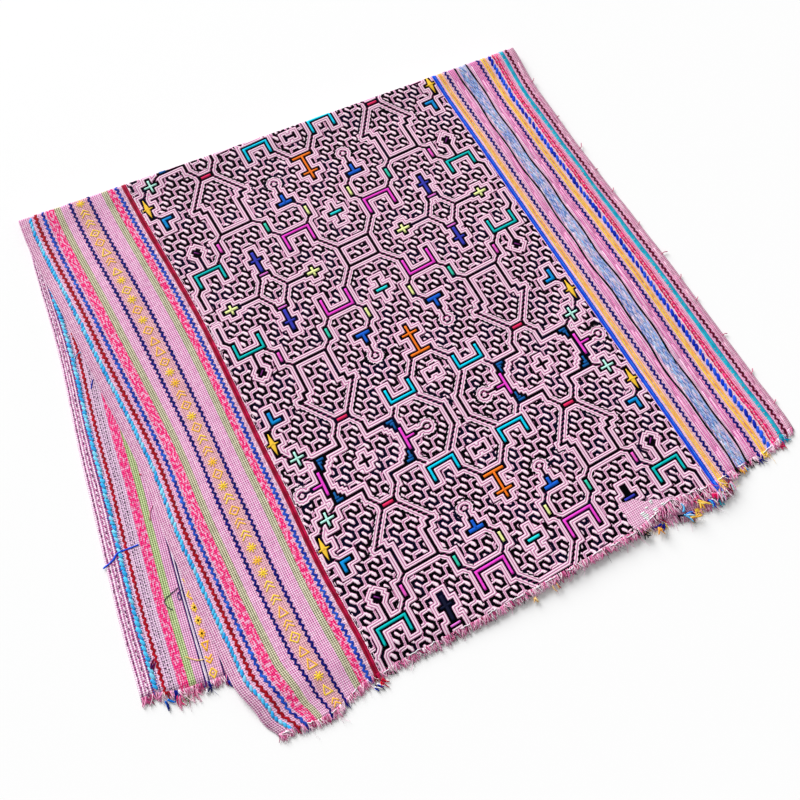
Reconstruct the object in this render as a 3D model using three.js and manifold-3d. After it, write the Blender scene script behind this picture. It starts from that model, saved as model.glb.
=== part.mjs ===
import * as THREE from 'three';
import { mergeVertices } from 'three/addons/utils/BufferGeometryUtils.js';
import Module from 'manifold-3d';

// A striped cotton cloth with an embroidered middle, folded once across its length and laid flat,
// right side out. Its two raw ends are frayed. Sizes are in millimetres: X runs across the cloth,
// Y along it towards the fold, and Z is up.

const clothWidth = 700;
const clothLength = 1328;
const clothThickness = 2;
const foldAtLeft = 702; // from the front end to the fold, along the left selvedge
const foldAtRight = 645; // the same along the right selvedge, so the fold runs askew
const foldBow = -2; // how far the middle of the fold swells past its straight line, or draws in below 0
const foldBowDepth = 130; // how far back from the fold that is felt
const foldRadius = 3.25; // of the sheet's middle surface where it turns
const layerGap = 1.5; // between the two layers away from the fold
const foldRoundReach = 24; // where the rounded edge flattens into the layers
const leftBorder = 138; // the striped borders on each side of the embroidered middle
const rightBorder = 122;

const drapeRamp = 36; // the upper layer comes down to the floor over this width past the lower one
const drapeClearance = 2;
const fringeReach = 22; // the lower layer's frayed end counts as cloth here
const swellHeight = 1.6; // soft unevenness of the upper layer
const swellAcross = 310;
const swellAlong = 260;
const swellPhase = 1.2;
const swellFade = 120;

const columns = 28; // facets across the cloth
const upperRows = 19;
const turnRows = 8;
const lowerRows = 16;
const rowCrowding = 1.5; // rows draw closer towards the fold

const fringeGap = 0.3; // between the cloth's end and the frayed edge's backing
const backingDepth = 3;
const backingThickness = 1.4;
const strandsPerEnd = 105;
const strandWidth = 2.2;
const strandHeight = 1.2;
const strandTaper = 0.5;
const rootLift = 0.2; // a strand leaves its backing this far up and comes down towards its tip
const shortestStrand = 4;
const longestStrand = 11;
const wispEvery = 9; // every so many strands one is a longer wisp
const wispLength = 17;
const strandFan = 0.3; // slow lean of the strands from square to the edge, in radians
const fanStep = 0.55; // how fast that lean changes from strand to strand
const strandStray = 0.12; // each strand's own stray from it

// How far each edge stands out from its straight line, in millimetres, at places along it.
const leftSelvedge = [
  { along: 0, out: -18 },
  { along: 26, out: -7 },
  { along: 75, out: 3 },
  { along: 220, out: 2 },
  { along: 345, out: -5 },
  { along: 520, out: -1 },
  { along: 660, out: 3 },
  { along: 760, out: -4 },
  { along: 900, out: -8 },
  { along: 1060, out: -4 },
  { along: 1220, out: -3 },
  { along: 1328, out: -6 },
];
const rightSelvedge = [
  { along: 0, out: 2 },
  { along: 30, out: 4 },
  { along: 90, out: 2 },
  { along: 250, out: 1 },
  { along: 345, out: -1 },
  { along: 420, out: -4 },
  { along: 490, out: -6 },
  { along: 560, out: -6 },
  { along: 645, out: 0 },
  { along: 800, out: 0 },
  { along: 1328, out: 0 },
];
const frontEnd = [
  { along: 0, out: -1 },
  { along: 60, out: 7 },
  { along: 136, out: -4 },
  { along: 305, out: 1 },
  { along: 463, out: 3 },
  { along: 518, out: -6 },
  { along: 570, out: 0 },
  { along: 650, out: -1 },
  { along: 700, out: -9 },
];
const backEnd = [
  { along: 0, out: -8 },
  { along: 45, out: -1 },
  { along: 110, out: 1 },
  { along: 300, out: -6 },
  { along: 480, out: -4 },
  { along: 580, out: 2 },
  { along: 640, out: 6 },
  { along: 680, out: 4 },
  { along: 700, out: -4 },
];

const foldTilt = Math.atan((foldAtLeft - foldAtRight) / clothWidth);
const turnLength = Math.PI * foldRadius;

const wasm = await Module();
wasm.setup();

function ease(value) {
  const clamped = THREE.MathUtils.clamp(value, 0, 1);
  return clamped * clamped * (3 - 2 * clamped);
}

// Reads one of the edge tables at a place, with a soft curve from row to row.
function standsOut(edge, along) {
  const next = edge.findIndex((row) => row.along > along);
  if (next === 0) return edge[0].out;
  if (next < 0) return edge[edge.length - 1].out;
  const from = edge[next - 1];
  const to = edge[next];
  return THREE.MathUtils.lerp(from.out, to.out, ease((along - from.along) / (to.along - from.along)));
}

// Sideways shift of a point, from the unevenness of the selvedge on its side.
function sideShift(across, along) {
  const left = -standsOut(leftSelvedge, along) * ease(1 - across / leftBorder);
  const right = standsOut(rightSelvedge, along) * ease(1 - (clothWidth - across) / rightBorder);
  return left + right;
}

// Distance from the fold line to a point of the flat cloth, square to the line; it is below zero
// on the upper layer and above zero past the fold.
function pastFold(across, along) {
  return across * Math.sin(foldTilt) + (along - foldAtLeft) * Math.cos(foldTilt);
}

// Height of the upper layer over the floor, under its lower face. It is the two layers' spacing
// over the lower layer and its fringe, and falls to the floor beyond the lower layer's edges.
function supportHeight(x, y) {
  const edgeX = Math.sin(2 * foldTilt);
  const edgeY = Math.cos(2 * foldTilt);
  const insideRight = (clothWidth - x) * edgeY - (foldAtRight - y) * edgeX;
  const lowerAcross = THREE.MathUtils.clamp(clothWidth - insideRight, 0, clothWidth);
  const lowerLength = clothLength + standsOut(backEnd, lowerAcross) - foldAtLeft - turnLength;
  const insideEnd = lowerLength + x * edgeX - (foldAtLeft - y) * edgeY;
  const bySide = ease((insideRight + drapeClearance + drapeRamp) / drapeRamp);
  const byEnd = ease((insideEnd + fringeReach + drapeRamp) / drapeRamp);
  return (clothThickness + layerGap) * bySide * byEnd;
}

// Slow swells of the upper layer, none at its front end and none at the fold.
function swell(x, y, past) {
  const acrossWave = Math.sin((2 * Math.PI * x) / swellAcross + swellPhase);
  const wave = 0.5 + 0.5 * acrossWave * Math.cos((2 * Math.PI * y) / swellAlong);
  return swellHeight * wave * ease(y / swellFade) * ease(-past / swellFade);
}

// Carries a point of the flat cloth onto the folded one. The upper layer keeps its plan place, the
// turn is a half circle about the fold line, and the lower layer is the mirror image across it.
// offset is measured from the middle surface towards the right side of the cloth.
function foldCloth(across, along, offset) {
  const past = pastFold(across, along);
  const downLine = across / Math.cos(foldTilt) - past * Math.tan(foldTilt);
  const bow = foldBow * Math.sin((Math.PI * across) / clothWidth) * Math.exp(-((past / foldBowDepth) ** 2));
  const turn = THREE.MathUtils.clamp(past / foldRadius, 0, Math.PI);
  const square = foldRadius * Math.sin(turn) + Math.min(past, 0) - Math.max(past - turnLength, 0) + bow;
  const outward = Math.sin(turn) * offset;
  const side = past > turnLength ? -1 : Math.cos(turn);
  const spread = sideShift(across, along);
  const x = downLine * Math.cos(foldTilt) + (square + outward) * Math.sin(foldTilt) + spread;
  const y = foldAtLeft - downLine * Math.sin(foldTilt) + (square + outward) * Math.cos(foldTilt);
  let middle = clothThickness / 2 + foldRadius * (1 + Math.cos(turn));
  if (past < 0) {
    const rounding = Math.exp(-((past / foldRoundReach) ** 2));
    const support = supportHeight(x, y);
    middle = clothThickness / 2 + support + (2 * foldRadius - support) * rounding + swell(x, y, past);
  }
  return new THREE.Vector3(x, y, middle + offset * side);
}

// Distance along the cloth of each row of facets, for one place across it.
function rowAlong(row, across) {
  const first = -standsOut(frontEnd, across);
  const last = clothLength + standsOut(backEnd, across);
  const foldStart = foldAtLeft - across * Math.tan(foldTilt);
  const foldEnd = foldStart + turnLength / Math.cos(foldTilt);
  if (row <= upperRows) {
    const left = (1 - row / upperRows) ** rowCrowding;
    return THREE.MathUtils.lerp(foldStart, first, left);
  }
  if (row <= upperRows + turnRows) {
    return THREE.MathUtils.lerp(foldStart, foldEnd, (row - upperRows) / turnRows);
  }
  return THREE.MathUtils.lerp(foldEnd, last, ((row - upperRows - turnRows) / lowerRows) ** rowCrowding);
}

// Moves every vertex of a closed geometry by a rule, and leaves it with positions alone.
function reshape(geometry, rule) {
  geometry.deleteAttribute('normal');
  geometry.deleteAttribute('uv');
  const merged = mergeVertices(geometry, 1e-4);
  const position = merged.getAttribute('position');
  const point = new THREE.Vector3();
  for (let index = 0; index < position.count; index += 1) {
    point.fromBufferAttribute(position, index);
    const moved = rule(point);
    position.setXYZ(index, moved.x, moved.y, moved.z);
  }
  return merged;
}

// The whole cloth is one bent slab: its columns are parts of the width and its rows are counted.
function foldedCloth() {
  const rows = upperRows + turnRows + lowerRows;
  const slab = new THREE.BoxGeometry(clothWidth, rows, clothThickness, columns, rows, 1);
  return reshape(slab, (point) => {
    const across = point.x + clothWidth / 2;
    const row = Math.round(point.y + rows / 2);
    return foldCloth(across, rowAlong(row, across), point.z);
  });
}

function toSolid(geometry) {
  const mesh = new wasm.Mesh({
    numProp: 3,
    vertProperties: new Float32Array(geometry.getAttribute('position').array),
    triVerts: new Uint32Array(geometry.getIndex().array),
  });
  return new wasm.Manifold(mesh);
}

function toGeometry(solid) {
  const mesh = solid.getMesh();
  const geometry = new THREE.BufferGeometry();
  geometry.setAttribute('position', new THREE.BufferAttribute(mesh.vertProperties, 3));
  geometry.setIndex(new THREE.BufferAttribute(mesh.triVerts, 1));
  geometry.computeVertexNormals();
  return geometry;
}

// A steady stream of even random values from a whole-number seed.
function randomStream(seed) {
  let state = seed;
  return () => {
    state = (state * 1664525 + 1013904223) % 4294967296;
    return state / 4294967296;
  };
}

// Plan place and floor height of a point that lies beyond one of the cloth's raw ends, at a place
// across the cloth and a distance out from it.
function beyondFront(across, out) {
  const x = across + sideShift(across, 0);
  const y = -standsOut(frontEnd, across) - out;
  return new THREE.Vector3(x, y, supportHeight(x, y));
}

function beyondBack(across, out) {
  const edge = foldCloth(across, clothLength + standsOut(backEnd, across), 0);
  return new THREE.Vector3(edge.x - out * Math.sin(2 * foldTilt), edge.y - out * Math.cos(2 * foldTilt), 0);
}

// The same place on the flat facets that the cloth's columns give its end.
function onFacets(beyond, across, out) {
  const facet = clothWidth / columns;
  const from = Math.min(Math.floor(across / facet), columns - 1) * facet;
  return beyond(from, out).lerp(beyond(from + facet, out), (across - from) / facet);
}

// A frayed end: a narrow backing that follows the cut edge, with three-sided strands fused into it.
// Every strand lies on one flat side, level with the backing's underside.
function frayedEnd(beyond, seed) {
  const random = randomStream(seed);
  const bar = new THREE.BoxGeometry(clothWidth, backingDepth, backingThickness, columns, 1, 1);
  const backing = reshape(bar, (point) => {
    const place = beyond(point.x + clothWidth / 2, fringeGap + backingDepth / 2 - point.y);
    place.z += point.z + backingThickness / 2;
    return place;
  });
  const solids = [toSolid(backing)];
  for (let strand = 0; strand < strandsPerEnd; strand += 1) {
    const wisp = strand % wispEvery === Math.floor(wispEvery / 2);
    const spread = shortestStrand + (longestStrand - shortestStrand) * random();
    const length = wisp ? wispLength : spread;
    const lean = strandFan * Math.sin(strand * fanStep + seed) + strandStray * (random() - 0.5);
    const rootAcross = ((strand + 0.5) / strandsPerEnd) * clothWidth;
    const rootOut = fringeGap + backingDepth / 2;
    const reach = length + backingDepth / 2;
    const lock = new THREE.CylinderGeometry(1, strandTaper, reach, 3, 2);
    solids.push(toSolid(reshape(lock, (point) => {
      const share = 0.5 - point.y / reach;
      const sideways = point.x * (strandWidth / Math.sqrt(3));
      const height = (point.z + taperAt(share) / 2) * (strandHeight / 1.5);
      const across = THREE.MathUtils.clamp(rootAcross + sideways + share * reach * Math.sin(lean), 1, clothWidth - 1);
      const place = onFacets(beyond, across, rootOut + share * reach * Math.cos(lean));
      place.z += height + rootLift * (1 - share);
      return place;
    })));
  }
  return toGeometry(wasm.Manifold.union(solids));
}

// Radius of a lock's three-sided section at a share of its length.
function taperAt(share) {
  return THREE.MathUtils.lerp(1, strandTaper, share);
}

const wovenPink = new THREE.MeshStandardMaterial({ color: 0xe2a0cd, roughness: 0.92, metalness: 0 });
const frayedPink = new THREE.MeshStandardMaterial({ color: 0xe8b4d2, roughness: 0.95, metalness: 0 });

const textile = new THREE.Group();
const pieces = [
  { name: 'folded_cloth', geometry: foldedCloth(), material: wovenPink },
  { name: 'fringe_upper', geometry: frayedEnd(beyondFront, 11), material: frayedPink },
  { name: 'fringe_lower', geometry: frayedEnd(beyondBack, 29), material: frayedPink },
];
for (const piece of pieces) {
  const mesh = new THREE.Mesh(piece.geometry, piece.material);
  mesh.name = piece.name;
  textile.add(mesh);
}

// The origin is the middle of the base of everything.
const extent = new THREE.Box3().setFromObject(textile);
const middle = extent.getCenter(new THREE.Vector3());
textile.position.set(-middle.x, -middle.y, -extent.min.z);
textile.updateMatrixWorld(true);

export default textile;
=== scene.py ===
import math

import bpy
import numpy as np
from mathutils import Matrix, Vector


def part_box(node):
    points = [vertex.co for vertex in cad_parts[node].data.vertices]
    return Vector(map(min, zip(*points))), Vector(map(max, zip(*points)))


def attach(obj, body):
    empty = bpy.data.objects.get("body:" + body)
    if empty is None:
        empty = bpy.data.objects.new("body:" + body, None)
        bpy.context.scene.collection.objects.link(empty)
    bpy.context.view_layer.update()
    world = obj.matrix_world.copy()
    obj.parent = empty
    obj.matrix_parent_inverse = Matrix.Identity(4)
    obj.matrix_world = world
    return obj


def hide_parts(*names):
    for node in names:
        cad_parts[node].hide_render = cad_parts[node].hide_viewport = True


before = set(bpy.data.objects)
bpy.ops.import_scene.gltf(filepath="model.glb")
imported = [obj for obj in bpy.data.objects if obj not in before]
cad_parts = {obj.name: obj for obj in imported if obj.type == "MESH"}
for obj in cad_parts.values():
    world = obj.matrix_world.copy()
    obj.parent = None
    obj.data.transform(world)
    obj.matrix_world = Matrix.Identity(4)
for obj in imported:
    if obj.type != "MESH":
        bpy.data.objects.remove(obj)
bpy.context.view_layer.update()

# A striped cotton cloth with an embroidered middle, folded once and laid flat. Flat places are in
# millimetres on the cut cloth: s runs across it from the left selvedge, t along it from the front end.
# Heights are measured from the cloth's middle surface towards its right side.

cloth = {
    "width": 700.0,
    "length": 1328.0,
    "foldAtLeft": 702.0,     # front end to fold along the left selvedge
    "foldAtRight": 645.0,
    "foldRadius": 3.25,
    "foldBow": -2.0,         # the fold draws in this much at its middle
    "foldBowDepth": 130.0,
    "roundReach": 24.0,      # the rounded edge flattens over this
    "layer": 2.0,
    "layerGap": 1.5,
    "leftBorder": 138.0,
    "rightBorder": 122.0,
    "ramp": 36.0,            # the upper layer comes down to the floor over this width
    "clearance": 2.0,
    "fringeReach": 22.0,
    "swellHeight": 1.6,
    "swellAcross": 310.0,
    "swellAlong": 260.0,
    "swellPhase": 1.2,
    "swellFade": 120.0,
    "rightFace": 0.4,        # heights of the two faces of the woven cloth
    "wrongFace": -0.5,
    "floorFace": 1.0,        # the right face of the lower layer rests on the floor
    "rows": (97, 15, 61),    # of the mesh: before the fold, round it and past it
    "columns": 71,
    "nearest": 1.5,          # columns stand at least this far apart
}

# How far each edge stands out from its straight line, at places along it.
leftSelvedge = {
    "along": [0, 26, 75, 220, 345, 520, 660, 760, 900, 1060, 1220, 1328],
    "out": [-18, -7, 3, 2, -5, -1, 3, -4, -8, -4, -3, -6],
}
rightSelvedge = {
    "along": [0, 30, 90, 250, 345, 420, 490, 560, 645, 800, 1328],
    "out": [2, 4, 2, 1, -1, -4, -6, -6, 0, 0, 0],
}
frontEnd = {
    "along": [0, 60, 136, 305, 463, 518, 570, 650, 700],
    "out": [-1, 7, -4, 1, 3, -6, 0, -1, -9],
}
backEnd = {
    "along": [0, 45, 110, 300, 480, 580, 640, 680, 700],
    "out": [-8, -1, 1, -6, -4, 2, 6, 4, -4],
}
# Sideways wander of the weave along the left edge of the stitching.
weaveWander = {
    "along": [0, 40, 130, 251, 460, 700, 900, 1328],
    "out": [-4, -3, -5, -1, 4, -3, 1, 0],
    "reach": 220.0,
}
# The lower layer's stripes draw away from its left selvedge.
lowerMargin = {
    "along": [0, 760, 960, 1100, 1328],
    "out": [0, 0, 3.5, 6, 6],
    "edge": 11.0,
}

foldTilt = math.atan((cloth["foldAtLeft"] - cloth["foldAtRight"]) / cloth["width"])
turnLength = math.pi * cloth["foldRadius"]


def ease(value):
    # nought below 0, one above 1, and a smooth S between
    clamped = np.clip(value, 0.0, 1.0)
    return clamped * clamped * (3.0 - 2.0 * clamped)


def standsOut(edge, along):
    # an edge table read at places along it, with a smooth S between one row and the next
    places = np.array(edge["along"], float)
    outs = np.array(edge["out"], float)
    row = np.clip(np.searchsorted(places, along, side="right") - 1, 0, len(places) - 2)
    share = ease((along - places[row]) / (places[row + 1] - places[row]))
    return outs[row] + (outs[row + 1] - outs[row]) * share


def sideShift(s, t):
    # sideways shift of a point from the two uneven selvedges and from the weave's wander between them
    left = -standsOut(leftSelvedge, t) * ease(1 - s / cloth["leftBorder"])
    right = standsOut(rightSelvedge, t) * ease(1 - (cloth["width"] - s) / cloth["rightBorder"])
    beyond = (s - cloth["leftBorder"]) / weaveWander["reach"]
    wander = standsOut(weaveWander, t) * ease(s / cloth["leftBorder"]) * ease(1 - beyond)
    margin = standsOut(lowerMargin, t) * ease(s / lowerMargin["edge"]) * ease(1 - beyond)
    return left + right + wander + margin


def pastFold(s, t):
    # distance past the fold line, square to it, and below zero on the upper layer
    return s * math.sin(foldTilt) + (t - cloth["foldAtLeft"]) * math.cos(foldTilt)


def supportHeight(x, y):
    # floor of the upper layer: the layers' spacing over the lower one, and nought beyond its edges
    edgeX = math.sin(2 * foldTilt)
    edgeY = math.cos(2 * foldTilt)
    insideRight = (cloth["width"] - x) * edgeY - (cloth["foldAtRight"] - y) * edgeX
    lowerAcross = np.clip(cloth["width"] - insideRight, 0, cloth["width"])
    lowerLength = cloth["length"] + standsOut(backEnd, lowerAcross) - cloth["foldAtLeft"] - turnLength
    insideEnd = lowerLength + x * edgeX - (cloth["foldAtLeft"] - y) * edgeY
    bySide = ease((insideRight + cloth["clearance"] + cloth["ramp"]) / cloth["ramp"])
    byEnd = ease((insideEnd + cloth["fringeReach"] + cloth["ramp"]) / cloth["ramp"])
    return (cloth["layer"] + cloth["layerGap"]) * bySide * byEnd


def swell(x, y, past):
    # slow waves of the upper layer, none at its front end and none at the fold
    acrossWave = np.sin(2 * math.pi * x / cloth["swellAcross"] + cloth["swellPhase"])
    wave = 0.5 + 0.5 * acrossWave * np.cos(2 * math.pi * y / cloth["swellAlong"])
    return cloth["swellHeight"] * wave * ease(y / cloth["swellFade"]) * ease(-past / cloth["swellFade"])


def foldCloth(s, t, height):
    # carries flat places onto the folded cloth: the upper layer stays in plan, a half circle turns
    # about the fold line, and the lower layer is its mirror image; the result is in millimetres
    radius = cloth["foldRadius"]
    past = pastFold(s, t)
    downLine = s / math.cos(foldTilt) - past * math.tan(foldTilt)
    depth = np.exp(-((past / cloth["foldBowDepth"]) ** 2))
    bow = cloth["foldBow"] * np.sin(math.pi * s / cloth["width"]) * depth
    turn = np.clip(past / radius, 0.0, math.pi)
    square = radius * np.sin(turn) + np.minimum(past, 0) - np.maximum(past - turnLength, 0) + bow
    square = square + np.sin(turn) * height
    x = downLine * math.cos(foldTilt) + square * math.sin(foldTilt) + sideShift(s, t)
    y = cloth["foldAtLeft"] - downLine * math.sin(foldTilt) + square * math.cos(foldTilt)
    side = np.where(past > turnLength, -1.0, np.cos(turn))
    support = supportHeight(x, y)
    rounding = np.exp(-((past / cloth["roundReach"]) ** 2))
    upper = support + (2 * radius - support) * rounding + swell(x, y, past)
    middle = cloth["layer"] / 2 + np.where(past < 0, upper, radius * (1 + np.cos(turn)))
    return np.stack([x, y, middle + height * side], axis=-1)


def frontOf(s):
    # the place along the cloth of its front end: nought, less what the end stands out
    return -standsOut(frontEnd, s)


def backOf(s):
    # the place of its back end: the length, and what that end stands out
    return cloth["length"] + standsOut(backEnd, s)


def alongAt(s, past):
    # the place along the cloth that lies so far past the fold line, at a place across it
    return cloth["foldAtLeft"] + (past - s * math.sin(foldTilt)) / math.cos(foldTilt)


def planShift():
    # The frame's origin is the middle of its base: from the middle of the folded plan to the middle
    # of the frame's own cloth.
    s, t = np.meshgrid(np.linspace(0, cloth["width"], 141), np.linspace(0, 1, 400))
    t = frontOf(s) + (backOf(s) - frontOf(s)) * t
    spots = foldCloth(s, t, 0.0).reshape(-1, 3)
    middle = (spots.min(axis=0) + spots.max(axis=0)) / 2
    low, high = (np.array(corner) * 1000 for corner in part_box("folded_cloth"))
    shift = (low + high) / 2 - middle
    shift[2] = 0.0
    return shift


shiftToFrame = planShift()


def toFrame(points):
    # millimetres of the folded plan as metres of the frame
    return (points + shiftToFrame) * 0.001


view = {
    "foot": (121.0, -9.0),   # plan place under the camera
    "height": 931.3,
    "turn": -34.04,          # degrees, from looking along the cloth
    "tilt": 19.70,           # from looking straight down
    "roll": 5.19,
    "lens": 37.36,
    "sensor": 36.0,
}


def placeCamera():
    # over its foot, turned from looking straight down by the turn, then the tilt, then the roll
    spot = toFrame(np.array([*view["foot"], view["height"]]))
    data = bpy.data.cameras.new("camera")
    data.lens = view["lens"]
    data.sensor_width = view["sensor"]
    data.clip_start = 0.01
    camera = bpy.data.objects.new("camera", data)
    turn = Matrix.Rotation(math.radians(view["turn"]), 4, "Z")
    tilt = Matrix.Rotation(math.radians(view["tilt"]), 4, "X")
    roll = Matrix.Rotation(math.radians(view["roll"]), 4, "Z")
    camera.matrix_world = Matrix.Translation(Vector(spot)) @ turn @ tilt @ roll
    bpy.context.scene.collection.objects.link(camera)
    bpy.context.scene.camera = camera


studio = {
    "floorSize": 6.0,
    "floorGrey": 0.93,
    "skyStrength": 0.40,
    "sunStrength": 5.1,
    "sunSoftness": 34.0,     # degrees
    "sunTilt": 66.0,
    "sunTurn": 188.0,        # the light comes from the back
}


def eyeToLinear(colours):
    # eye values from 0 to 255 as the linear colours that the shaders take, with full cover
    eye = np.asarray(colours, float) / 255.0
    linear = np.where(eye <= 0.04045, eye / 12.92, ((eye + 0.055) / 1.055) ** 2.4)
    return np.concatenate([linear, np.ones(linear.shape[:-1] + (1,))], axis=-1)


def srgb(red, green, blue):
    # one colour as a shader socket takes it
    return tuple(float(part) for part in eyeToLinear((red, green, blue)))


def mathNode(operation, turned=False):
    # a method that adds one Math node, with its own value first or, turned, last
    def added(self, *others):
        values = (*others, self) if turned else (self, *others)
        return self.finish.node("ShaderNodeMath", {"operation": operation}, dict(enumerate(values)))
    return added


class Wire:
    # a node's output that can be used in sums; each sum adds the Math nodes it needs
    def __init__(self, finish, socket):
        self.finish = finish
        self.socket = socket

    __add__ = __radd__ = mathNode("ADD")
    __mul__ = __rmul__ = mathNode("MULTIPLY")
    __sub__ = mathNode("SUBTRACT")
    __rsub__ = mathNode("SUBTRACT", turned=True)
    __truediv__ = mathNode("DIVIDE")
    least = mathNode("MINIMUM")
    most = mathNode("MAXIMUM")
    size = mathNode("ABSOLUTE")
    wave = mathNode("SINE")

    def between(self, low, high):
        # nought at low and one at high, with a smooth S between
        return self.finish.node(
            "ShaderNodeMapRange",
            {"interpolation_type": "SMOOTHSTEP"},
            {"Value": self, "From Min": low, "From Max": high},
        )


class Finish:
    # one material and the few ways its nodes are made
    def __init__(self, name, roughness, specular):
        self.material = bpy.data.materials.new(name)
        self.material.use_nodes = True
        self.tree = self.material.node_tree
        self.shader = self.tree.nodes["Principled BSDF"]
        self.shader.inputs["Roughness"].default_value = roughness
        self.shader.inputs["Specular IOR Level"].default_value = specular

    def node(self, kind, settings=None, sockets=None, output=0):
        # settings are set first, then values or links go into the sockets
        made = self.tree.nodes.new(kind)
        for name, value in (settings or {}).items():
            if name == "stops":
                self.setStops(made.color_ramp, value)
            else:
                setattr(made, name, value)
        for name, value in (sockets or {}).items():
            self.join(value, made.inputs[name])
        return Wire(self, made.outputs[output])

    def join(self, value, socket):
        if isinstance(value, Wire):
            self.tree.links.new(value.socket, socket)
        else:
            socket.default_value = value

    def setStops(self, ramp, stops):
        # each colour holds from its place to the next one's
        ramp.interpolation = "CONSTANT"
        while len(ramp.elements) > 1:
            ramp.elements.remove(ramp.elements[-1])
        for index, (place, colour) in enumerate(stops):
            stop = ramp.elements[0] if index == 0 else ramp.elements.new(place)
            stop.position = place
            stop.color = colour

    def attribute(self, name, output="Fac"):
        return self.node("ShaderNodeAttribute", {"attribute_name": name}, output=output)

    def parts(self, vector):
        made = self.tree.nodes.new("ShaderNodeSeparateXYZ")
        self.join(vector, made.inputs[0])
        return [Wire(self, out) for out in made.outputs]

    def vector(self, x, y, z):
        return self.node("ShaderNodeCombineXYZ", None, {0: x, 1: y, 2: z})

    def noise(self, vector, scale, detail=2.0):
        return self.node("ShaderNodeTexNoise", None, {"Vector": vector, "Scale": scale, "Detail": detail})

    def mix(self, share, first, second, blend="MIX"):
        return self.node(
            "ShaderNodeMix",
            {"data_type": "RGBA", "blend_type": blend},
            {0: share, 6: first, 7: second},
            output=2,
        )

    def finishWith(self, colour, height=None, depth=0.0):
        # the colour, and a bump where there is a height
        self.join(colour, self.shader.inputs["Base Color"])
        if height is not None:
            bump = self.node("ShaderNodeBump", None, {"Height": height, "Distance": depth, "Strength": 1.0})
            self.join(bump, self.shader.inputs["Normal"])
        return self.material


def lightStudio():
    # a plain floor, an even sky and one wide sun
    finish = Finish("pale_floor", 0.8, 0.1)
    grey = studio["floorGrey"]
    finish.finishWith((grey, grey, grey, 1.0))
    half = studio["floorSize"] / 2
    mesh = bpy.data.meshes.new("floor")
    corners = [(-half, -half, 0), (half, -half, 0), (half, half, 0), (-half, half, 0)]
    mesh.from_pydata(corners, [], [(0, 1, 2, 3)])
    mesh.materials.append(finish.material)
    floor = bpy.data.objects.new("floor", mesh)
    bpy.context.scene.collection.objects.link(floor)
    world = bpy.data.worlds.new("studio")
    world.use_nodes = True
    sky = world.node_tree.nodes["Background"]
    sky.inputs["Color"].default_value = (1.0, 1.0, 1.0, 1.0)
    sky.inputs["Strength"].default_value = studio["skyStrength"]
    bpy.context.scene.world = world
    data = bpy.data.lights.new("soft_sun", "SUN")
    data.energy = studio["sunStrength"]
    data.angle = math.radians(studio["sunSoftness"])
    sun = bpy.data.objects.new("soft_sun", data)
    turn = Matrix.Rotation(math.radians(studio["sunTurn"]), 4, "Z")
    sun.matrix_world = turn @ Matrix.Rotation(math.radians(studio["sunTilt"]), 4, "X")
    bpy.context.scene.collection.objects.link(sun)
    bpy.context.scene.view_settings.view_transform = "Standard"


placeCamera()
lightStudio()
print("camera, floor and light are set")


def addPiece(name, points, faces, material, marks=None):
    # a mesh of four-cornered faces from whole arrays; marks are the values kept at its points
    points = np.ascontiguousarray(points, dtype=np.float32).reshape(-1, 3)
    faces = np.ascontiguousarray(faces, dtype=np.int32).reshape(-1, 4)
    mesh = bpy.data.meshes.new(name)
    mesh.vertices.add(len(points))
    mesh.vertices.foreach_set("co", points.ravel())
    mesh.loops.add(faces.size)
    mesh.loops.foreach_set("vertex_index", faces.ravel())
    mesh.polygons.add(len(faces))
    mesh.polygons.foreach_set("loop_start", np.arange(0, faces.size, 4, dtype=np.int32))
    mesh.update(calc_edges=True)
    mesh.polygons.foreach_set("use_smooth", np.ones(len(faces), dtype=bool))
    kinds = {1: ("FLOAT", "value"), 3: ("FLOAT_VECTOR", "vector"), 4: ("FLOAT_COLOR", "color")}
    for mark, values in (marks or {}).items():
        values = np.ascontiguousarray(values, dtype=np.float32).reshape(len(points), -1)
        kind, field = kinds[values.shape[1]]
        mesh.attributes.new(mark, kind, "POINT").data.foreach_set(field, values.ravel())
    mesh.materials.append(material)
    piece = bpy.data.objects.new(name, mesh)
    bpy.context.scene.collection.objects.link(piece)
    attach(piece, "root")
    return piece


def gridFaces(rows, columns):
    # the four corners of each cell of a grid, counter-clockwise with s first and t next
    corner = np.arange(rows * columns).reshape(rows, columns)
    cells = [corner[:-1, :-1], corner[:-1, 1:], corner[1:, 1:], corner[1:, :-1]]
    return np.stack(cells, axis=-1).reshape(-1, 4)


def flatMarks(s, t, side=0.0):
    # flat places to be kept at the points, with 1 for the wrong side
    return np.stack([s, t, np.full_like(s, side)], axis=-1)


# The woven stripes. A band starts at its place across the cloth and runs to the next; its second
# colour shows as flecks, and as the knots of the weave as plainly as the last value says.

leftBands = [
    # start, colour, second colour, flecks, grid
    (0, (190, 84, 150), (254, 228, 242), 0.3, 0.75),
    (12, (226, 160, 200), (252, 224, 240), 0.3, 0.5),
    (17, (212, 128, 180), (252, 226, 240), 0.3, 0.6),
    (35, (246, 6, 116), (250, 190, 218), 0.9, 0.12),
    (43.8, (92, 100, 56), (234, 226, 196), 0.15, 1),
    (53, (212, 84, 166), (255, 236, 248), 0.2, 0.8),
    (65, (216, 130, 190), (252, 226, 242), 0.3, 0.6),
    (70.4, (200, 116, 150), (250, 212, 208), 0.3, 0.8),
    (89, (216, 130, 190), (252, 226, 242), 0.3, 0.6),
    (94.4, (210, 80, 164), (255, 234, 248), 0.2, 0.8),
    (106.8, (92, 100, 60), (234, 226, 198), 0.15, 1),
    (116.4, (244, 4, 112), (250, 186, 216), 0.9, 0.1),
    (125.6, (218, 160, 196), (250, 226, 240), 0.3, 0.6),
    (133.2, (226, 170, 200), (250, 226, 238), 0.3, 0.3),
    (135.6, (160, 4, 48), (120, 4, 34), 0.4, 0.1),
    (142, (212, 108, 170), (255, 236, 246), 0.2, 0.8),
]
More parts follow.
